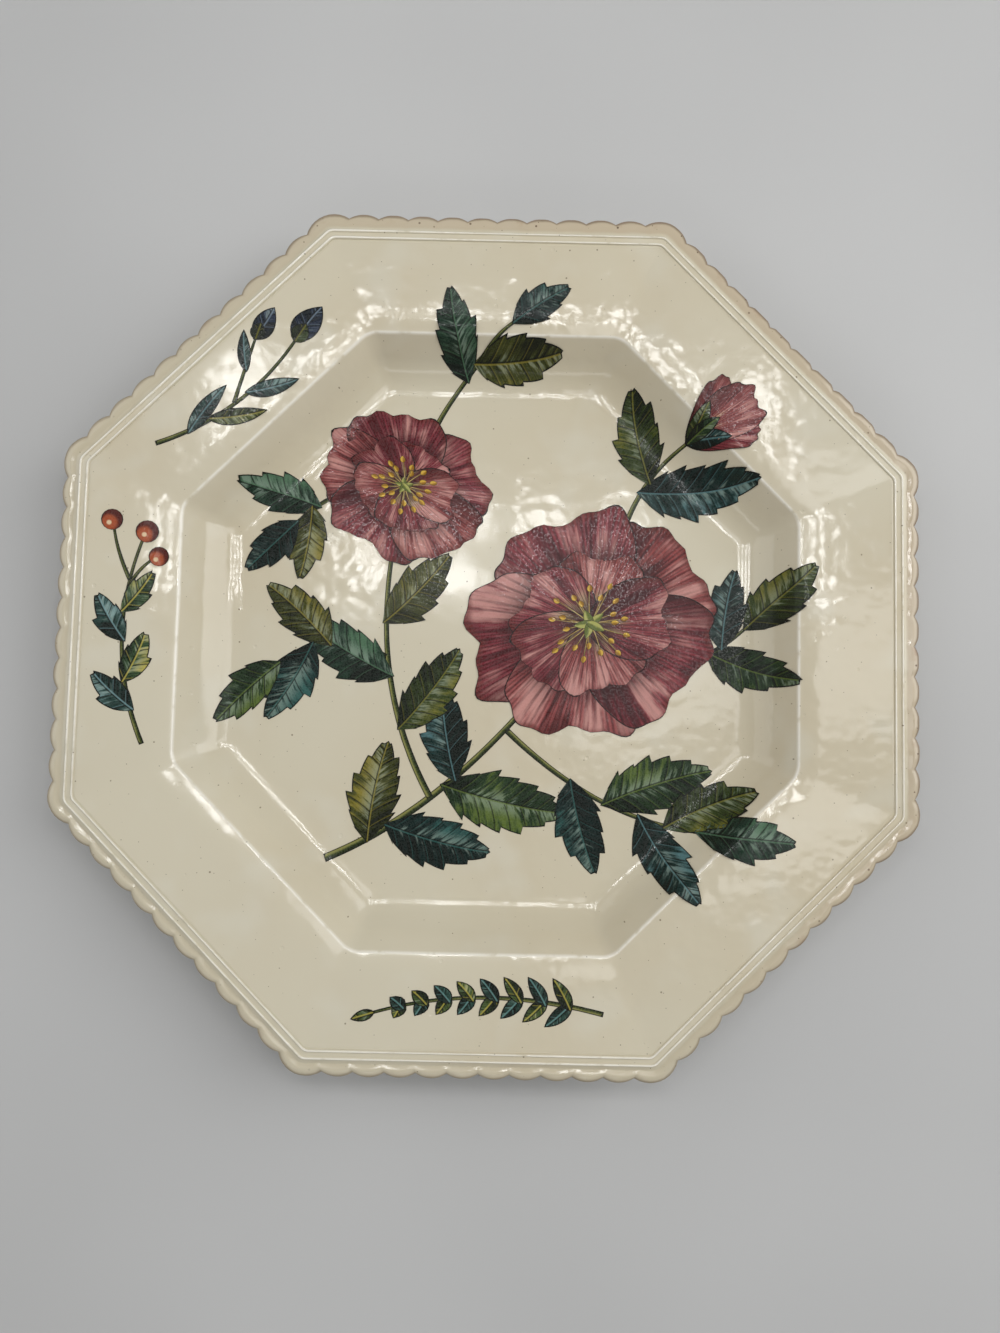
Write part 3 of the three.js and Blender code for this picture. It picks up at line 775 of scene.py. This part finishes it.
shade_lines = lines(25 * turn + 1.5 * coarse, 0.34) * fade(tone, 0.45, -0.15)
body = over(body, colour("3d1113"), 0.6 * shade_lines)
body = over(body, colour("170c0b"), fade(inset + 0.25 * (cloud - 0.5), 0.52, 0.22))
enamel_surface(shader, paint, place, body)

heart_enamel, paint, shader = new_paint("heart_enamel")
place = paint.node("ShaderNodeTexCoord", out="Object")
_, across, inset, tint, wash, *_ = stroke_values(paint)
body = over(tint, wash, fade(across + 0.8 * (mottle(place, 500, 2.0) - 0.5), -0.3, 0.4))
body = over(body, colour("2b1e12"), 0.85 * fade(inset, 0.22, 0.08))
enamel_surface(shader, paint, place, body)


def bloom(centre, reach, turn, lean, squash, layer):
    """An open flower seen a little from one side: two rings of petals round a heart of stamens. It is
    squashed across the way that it leans."""
    tilt = turned(lean) @ np.diag((1, squash))
    made = []
    rings = ((1, turn, INNER_REACH - 0.06), (INNER_REACH, turn + INNER_TURN, 0.3))
    for ring_reach, ring_turn, cover in rings:
        for petal in range(PETALS):
            stray = math.sin(5 * petal + 9 * ring_turn)
            length = reach * ring_reach * (1 - 0.04 * abs(stray))
            lie = tilt @ turned(ring_turn + 360 * petal / PETALS + PETAL_STRAY * stray)
            cells = (round(length / CELL), 2 * round(PETAL_BREADTH * length / CELL))
            number = layer + len(made)
            shape = petal_shape(length, seed_of(number))
            roses = ROSES[number % len(ROSES)]
            made.append(film(shape, cells, lie, centre, roses, petal_enamel, number, cover))
    for stamen in range(STAMENS):
        lie = tilt @ turned(360 * stamen / STAMENS + PETAL_STRAY * (stamen % 3))
        length = reach * STAMEN_REACH * (0.72 + 0.14 * (stamen * 2 % 5))
        thread = stem_shape(((0, 0), (length / 2, 0.6 - 0.4 * (stamen % 4)), (length, 0)), STAMEN_WIDTH)
        made.append(film(thread, (8, 2), lie, centre, STAMEN_COLOURS, heart_enamel, layer + len(made)))
        tip = np.asarray(centre) + lie @ (length, 0)
        knob = leaf_shape(*KNOB_SIZE)
        made.append(film(knob, (6, 4), lie, tip, KNOB_COLOURS, heart_enamel, layer + len(made)))
    for carpel in range(PETALS):
        lie = tilt @ turned(360 * carpel / PETALS + turn)
        pod = leaf_shape(POD_LENGTH * reach, POD_WIDTH * reach)
        made.append(film(pod, (8, 4), lie, centre, POD_COLOURS, heart_enamel, layer + len(made)))
    return made


BUD_STEM = SPRAY_TWIGS[4][0]
BUD_STEP = 14
BUD_CELLS = (44, 28)
BUD_COVER = 0.2
BUD_PETALS = ((26, 20, 9), (-26, 20, 9), (0, 22, 13))
SEPALS = ((1, 44, 12, 5), (1, -44, 12, 5), (1, 12, 10, 4.5))
films = []
bud_at, bud_heading = heading_at(BUD_STEM, 1)
for turn, length, width in BUD_PETALS:
    lie = turned(bud_heading + turn) @ np.diag((1, width / length))
    number = spray_layers + BUD_STEP * len(films)
    shape = petal_shape(length, seed_of(number))
    roses = ROSES[number % len(ROSES)]
    films.append(film(shape, BUD_CELLS, lie, bud_at, roses, petal_enamel, number, BUD_COVER))
for leaf in SEPALS:
    number = spray_layers + BUD_STEP * len(films)
    films.append(draw_leaf(BUD_STEM, leaf, GREENS[len(films) % 3], leaf_enamel, number, WELL))
films += bloom(*SMALL_BLOOM, spray_layers + len(films))
films += bloom(*LARGE_BLOOM, spray_layers)
spray_blooms = laid_down(films, "spray_blooms")
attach(spray_blooms, "root")
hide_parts("blossom_spray")


# The sprig on the left panel: a twig with oval leaves and three ripe berries, printed and filled in
# with the same green enamels and a warm brown red.
PANEL_MIDDLE = 101.1
TWIG_WIDTH = 1.4
STALK_WIDTH = 1.2


def panel_ground(side):
    """The ground of a print on the panel of one side."""
    return (side * 360 / SIDES - 90, np.array((0, PANEL_MIDDLE)))


def berry_shape(radius):
    """A round berry."""
    def shape(along, across):
        x = -radius * np.cos(math.pi * along)
        y = radius * np.sin(math.pi * along) * across
        return np.column_stack((x, y)), x, y
    return shape


berry_enamel, paint, shader = new_paint("berry_enamel")
place = paint.node("ShaderNodeTexCoord", out="Object")
along, across, inset, tint, wash, *_ = stroke_values(paint)
lit = (along + 0.9) * (along + 0.9) + (across - 0.8) * (across - 0.8)
body = over(tint, wash, fade(lit + 3 * (mottle(place, 500, 2.0) - 0.5), 2.5, 8))
body = over(body, INK, 0.45 * lines(1.2 * lit, 0.3) * fade(lit, 2, 7))
body = over(body, colour("e8cfa8"), 0.85 * fade(lit, 0.7, 0.15))
body = over(body, INK, 0.9 * fade(inset, 0.4, 0.14))
enamel_surface(shader, paint, place, body)

ground = panel_ground(4)
BERRY_TWIG = ((-32, -5), (-4, 7), (26, -3))
BERRY_STALKS = (((14, 0.1), (22, 4), (29, 5)), ((10.5, 0.7), (17, -1), (21, -7)))
BERRY_LEAVES = ((0.18, 40, 15, 8), (0.32, -40, 15, 8), (0.52, 38, 15, 8), (0.66, -38, 14, 7))
BERRIES = (((28, -4), 3.2), ((31, 5.6), 3.0), ((21, -7.4), 2.8))
BERRY_GREENS = (("37502f", "c4b450"), ("2c4842", "7fa3a6"))
BERRY_REDS = ("a4502f", "5a231c")
BERRY_CELLS = (8, 8)
films = [draw_stem(BERRY_TWIG, TWIG_WIDTH, STEM, stem_enamel, 0, ground)]
for stalk in BERRY_STALKS:
    films.append(draw_stem(stalk, STALK_WIDTH, STEM, stem_enamel, len(films), ground))
for leaf in BERRY_LEAVES:
    greens = BERRY_GREENS[len(films) % 2]
    films.append(draw_leaf(BERRY_TWIG, leaf, greens, leaf_enamel, len(films), ground, toothed=True))
for at, radius in BERRIES:
    lie = turned(ground[0])
    where = lie @ (np.array(at) + ground[1])
    shape = berry_shape(radius)
    films.append(film(shape, BERRY_CELLS, lie, where, BERRY_REDS, berry_enamel, len(films)))
berry_twig = laid_down(films, "berry_twig")
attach(berry_twig, "root")
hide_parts("berry_sprig")


# The sprig on the near panel: a fern frond with pairs of leaflets that shorten towards its tip,
# printed and filled in with blue and yellow greens.
ground = panel_ground(6)
FROND = ((-34, 2), (0, -6), (30, 3))
FROND_PAIRS = 8
FROND_BARE = 0.14
FROND_RUN = 0.72
LEAFLET_LENGTH = 11
LEAFLET_LOSS = 6.6
LEAFLET_WIDTH = 4.2
LEAFLET_TURN = 58
FROND_TIP = (1, 0, 7, 3.2)
FROND_COLOURS = (("2c4a40", "6d9a95"), ("47592b", "bdb04e"))
films = [draw_stem(FROND, TWIG_WIDTH, STEM, stem_enamel, 0, ground)]
for pair in range(FROND_PAIRS):
    share_out = FROND_BARE + FROND_RUN * pair / (FROND_PAIRS - 1)
    length = LEAFLET_LENGTH - LEAFLET_LOSS * share_out
    for side_number, turn in enumerate((LEAFLET_TURN, -LEAFLET_TURN)):
        greens = FROND_COLOURS[(pair + side_number) % 2]
        leaflet = (share_out, turn, length, LEAFLET_WIDTH)
        films.append(draw_leaf(FROND, leaflet, greens, leaf_enamel, len(films), ground))
films.append(draw_leaf(FROND, FROND_TIP, FROND_COLOURS[1], leaf_enamel, len(films), ground))
fern_frond = laid_down(films, "fern_frond")
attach(fern_frond, "root")
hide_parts("fern_sprig")


# The sprig on the upper left panel: two narrow-leaved shoots that end in buds, printed and filled in
# with olive and a slate blue.
ground = panel_ground(3)
SHOOTS = (
    (((-30, 4), (-6, -7), (20, -1)), TWIG_WIDTH,
     ((0.2, 34, 18, 5), (0.34, -30, 17, 5), (0.6, -34, 16, 5)), (1, 4, 13, 8)),
    (((-6, -2.4), (4, 3), (12, 7)), STALK_WIDTH, ((0.5, 30, 12, 4),), (1, -22, 11, 6.5)),
)
SHOOT_GREENS = (("3f4b25", "a0964a"), ("29443f", "6f9093"))
BUD_BLUES = ("2c374e", "7d8d9c")
CUP_LENGTH = 0.5
CUP_WIDTH = 0.7
films = []
for curve, width, leaves, bud in SHOOTS:
    films.append(draw_stem(curve, width, STEM, stem_enamel, len(films), ground))
    for leaf in leaves:
        greens = SHOOT_GREENS[len(films) % 2]
        films.append(draw_leaf(curve, leaf, greens, leaf_enamel, len(films), ground))
    films.append(draw_leaf(curve, bud, BUD_BLUES, leaf_enamel, len(films), ground))
    cup = (1, 0, CUP_LENGTH * bud[2], CUP_WIDTH * bud[3])
    films.append(draw_leaf(curve, cup, GREENS[0], leaf_enamel, len(films), ground))
budding_shoots = laid_down(films, "budding_shoots")
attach(budding_shoots, "root")
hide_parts("bud_sprig")


# The studio: a pale floor, a bank of small lamps overhead towards the far side, soft panels round it
# and an even light from the room, and the camera held over the plate, a little towards the near side.
FLOOR_RADIUS = 4
ROOM_LIGHT = 0.38
bpy.ops.object.select_all(action="DESELECT")
bpy.ops.mesh.primitive_circle_add(vertices=64, radius=FLOOR_RADIUS, fill_type="NGON")
floor = bpy.context.object
floor.name = "floor"
paper, paint, shader = new_paint("pale_paper")
place = paint.node("ShaderNodeTexCoord", out="Object")
sheet = over(colour("cdcdcc"), colour("c5c5c4"), fade(mottle(place, 5, 2.0), 0.3, 0.7))
set_surface(shader, paint, Base_Color=sheet, Roughness=0.9)
floor.data.materials.append(paper)

world = bpy.data.worlds.new("room")
bpy.context.scene.world = world
world.use_nodes = True
room = world.node_tree.nodes["Background"]
room.inputs["Color"].default_value = colour("d9dadb")
room.inputs["Strength"].default_value = ROOM_LIGHT


def lamp(name, at, aim, size, power):
    """A soft rectangular lamp."""
    light = bpy.data.lights.new(name, "AREA")
    light.shape = "RECTANGLE"
    light.size, light.size_y = size
    light.energy = power
    holder = bpy.data.objects.new(name, light)
    bpy.context.scene.collection.objects.link(holder)
    holder.location = at
    holder.rotation_euler = (Vector(aim) - Vector(at)).to_track_quat("-Z", "Y").to_euler()


LAMP_BANK = Vector((0, 0.108, 0.46))
LAMP_AIM = (0, 0.02, 0)
LAMP_PITCH = (0.065, 0.045)
LAMP_SIZE = (0.037, 0.023)
LAMP_POWER = 0.049
for row in (-0.5, 0.5):
    for column in (-1.5, -0.5, 0.5, 1.5):
        at = LAMP_BANK + Vector((LAMP_PITCH[0] * column, LAMP_PITCH[1] * row, 0))
        lamp("lamp_bank", at, LAMP_AIM, LAMP_SIZE, LAMP_POWER)
lamp("soft_top", (0.18, 0.04, 0.6), (0.05, 0, 0), (0.11, 0.26), 0.24)
lamp("soft_front", (-0.15, -0.5, 0.55), (0, 0, 0), (0.6, 0.09), 0.3)
lamp("soft_left", (-0.75, 0.2, 0.55), (0, 0, 0), (0.6, 0.9), 1.6)
lamp("soft_right", (0.75, 0.25, 0.55), (0, 0, 0), (0.6, 0.9), 4.6)

CAMERA_AT = (0.00342, -0.02645, 0.30003)
CAMERA_TURN = (3.745, -0.118, 1.272)
CAMERA_LENS = 27
camera = bpy.data.objects.new("camera", bpy.data.cameras.new("camera"))
bpy.context.scene.collection.objects.link(camera)
camera.location = CAMERA_AT
camera.rotation_euler = [math.radians(turn) for turn in CAMERA_TURN]
camera.data.lens = CAMERA_LENS
camera.data.clip_start = 0.01
bpy.context.scene.camera = camera
bpy.context.scene.view_settings.view_transform = "Standard"
